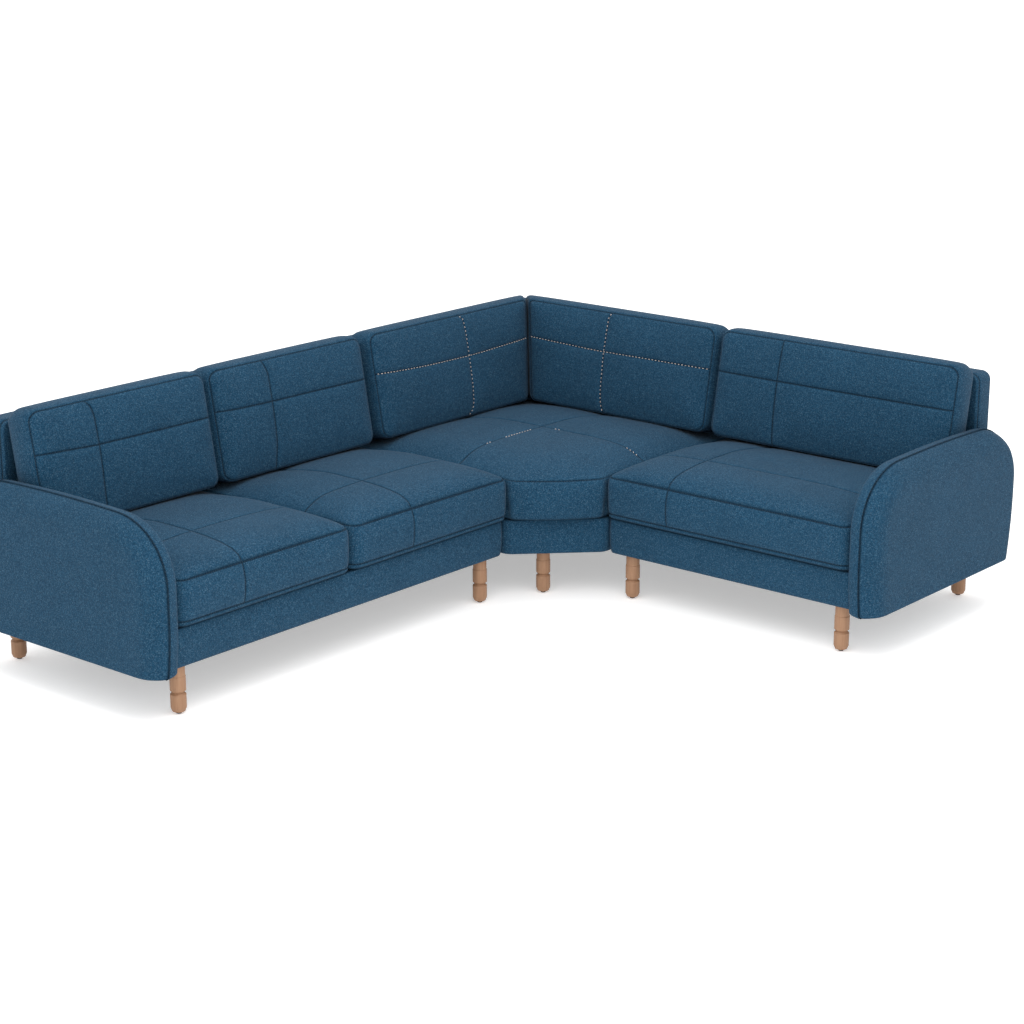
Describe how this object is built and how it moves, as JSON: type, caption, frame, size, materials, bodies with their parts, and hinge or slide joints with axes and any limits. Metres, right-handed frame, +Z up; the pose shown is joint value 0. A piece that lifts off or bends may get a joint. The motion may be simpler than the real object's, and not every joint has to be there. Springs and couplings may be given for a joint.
{
  "type": "modular corner sofa",
  "caption": "L-shaped modular sofa: two wings with rounded arms join a corner module, with loose reclined back cushions, crowned seat cushions and turned timber legs.",
  "frame": {"origin": "centre of the whole sofa's bounding box, on the floor", "axes": "+X along the two-seat wing towards the corner, +Y from that wing's front to its back, +Z up"},
  "size_m": [2.606, 2.106, 0.8076],
  "materials": {
    "upholstery": "heathered blue woven wool-look cloth, matt",
    "leg_wood": "turned light hardwood, clear matt lacquer",
    "frame_timber": "planed softwood and board, uncoated",
    "steel": "zinc-plated steel",
    "glide": "moulded plastic glide",
    "foam": "open-cell cushion foam",
    "webbing": "woven elastic webbing",
    "dust_cloth": "thin non-woven cloth"
  },
  "bodies": {
    "corner_module": {"corner_back_cover": "upholstery", "corner_back_frame": "frame_timber", "corner_base_cover": "upholstery", "corner_dust_cover": "dust_cloth", "corner_leg_glides": "glide", "corner_leg_plates": "steel", "corner_legs": "leg_wood", "corner_pin_brackets": "steel", "corner_seat_deck": "upholstery", "corner_seat_frame": "frame_timber", "corner_seat_webbing": "webbing"},
    "left_module": {"left_arm_board": "frame_timber", "left_arm_bolts": "steel", "left_arm_inner_cover": "upholstery", "left_arm_outer_cover": "upholstery", "left_back_cover": "upholstery", "left_back_frame": "frame_timber", "left_base_cover": "upholstery", "left_dust_cover": "dust_cloth", "left_leg_glides": "glide", "left_leg_plates": "steel", "left_legs": "leg_wood", "left_seat_deck": "upholstery", "left_seat_frame": "frame_timber", "left_seat_webbing": "webbing", "left_socket_plates": "steel"},
    "right_module": {"right_arm_board": "frame_timber", "right_arm_bolts": "steel", "right_arm_inner_cover": "upholstery", "right_arm_outer_cover": "upholstery", "right_back_cover": "upholstery", "right_back_frame": "frame_timber", "right_base_cover": "upholstery", "right_dust_cover": "dust_cloth", "right_leg_glides": "glide", "right_leg_plates": "steel", "right_legs": "leg_wood", "right_seat_deck": "upholstery", "right_seat_frame": "frame_timber", "right_seat_webbing": "webbing", "right_socket_plates": "steel"},
    "left_seat_cushion_a": {"left_seat_cushion_a": "upholstery", "left_seat_cushion_a_foam": "foam"},
    "left_seat_cushion_b": {"left_seat_cushion_b": "upholstery", "left_seat_cushion_b_foam": "foam"},
    "right_seat_cushion": {"right_seat_cushion": "upholstery", "right_seat_cushion_foam": "foam"},
    "corner_seat_cushion": {"corner_seat_cushion": "upholstery", "corner_seat_cushion_foam": "foam"},
    "left_back_cushion_a": {"left_back_cushion_a": "upholstery", "left_back_cushion_a_foam": "foam"},
    "left_back_cushion_b": {"left_back_cushion_b": "upholstery", "left_back_cushion_b_foam": "foam"},
    "corner_back_cushion_left": {"corner_back_cushion_left": "upholstery", "corner_back_cushion_left_foam": "foam"},
    "corner_back_cushion_right": {"corner_back_cushion_right": "upholstery", "corner_back_cushion_right_foam": "foam"},
    "right_back_cushion": {"right_back_cushion": "upholstery", "right_back_cushion_foam": "foam"}
  },
  "joints": [
    {"name": "left_module_lift", "type": "slide", "parent": "corner_module", "child": "left_module", "axis": [0, 0, 1], "range_m": [0, 0.05]},
    {"name": "right_module_lift", "type": "slide", "parent": "corner_module", "child": "right_module", "axis": [0, 0, 1], "range_m": [0, 0.05]},
    {"name": "left_seat_cushion_a_lift", "type": "slide", "parent": "left_module", "child": "left_seat_cushion_a", "axis": [0, 0, 1], "range_m": [0, 0.35]},
    {"name": "left_seat_cushion_b_lift", "type": "slide", "parent": "left_module", "child": "left_seat_cushion_b", "axis": [0, 0, 1], "range_m": [0, 0.35]},
    {"name": "corner_seat_cushion_lift", "type": "slide", "parent": "corner_module", "child": "corner_seat_cushion", "axis": [0, 0, 1], "range_m": [0, 0.35]},
    {"name": "right_seat_cushion_lift", "type": "slide", "parent": "right_module", "child": "right_seat_cushion", "axis": [0, 0, 1], "range_m": [0, 0.35]},
    {"name": "left_back_cushion_a_lift", "type": "slide", "parent": "left_seat_cushion_a", "child": "left_back_cushion_a", "axis": [0, 0, 1], "range_m": [0, 0.4]},
    {"name": "left_back_cushion_b_lift", "type": "slide", "parent": "left_seat_cushion_b", "child": "left_back_cushion_b", "axis": [0, 0, 1], "range_m": [0, 0.4]},
    {"name": "corner_back_cushion_left_lift", "type": "slide", "parent": "corner_seat_cushion", "child": "corner_back_cushion_left", "axis": [0, 0, 1], "range_m": [0, 0.4]},
    {"name": "corner_back_cushion_right_lift", "type": "slide", "parent": "corner_seat_cushion", "child": "corner_back_cushion_right", "axis": [0, 0, 1], "range_m": [0, 0.4]},
    {"name": "right_back_cushion_lift", "type": "slide", "parent": "right_seat_cushion", "child": "right_back_cushion", "axis": [0, 0, 1], "range_m": [0, 0.4]}
  ]
}
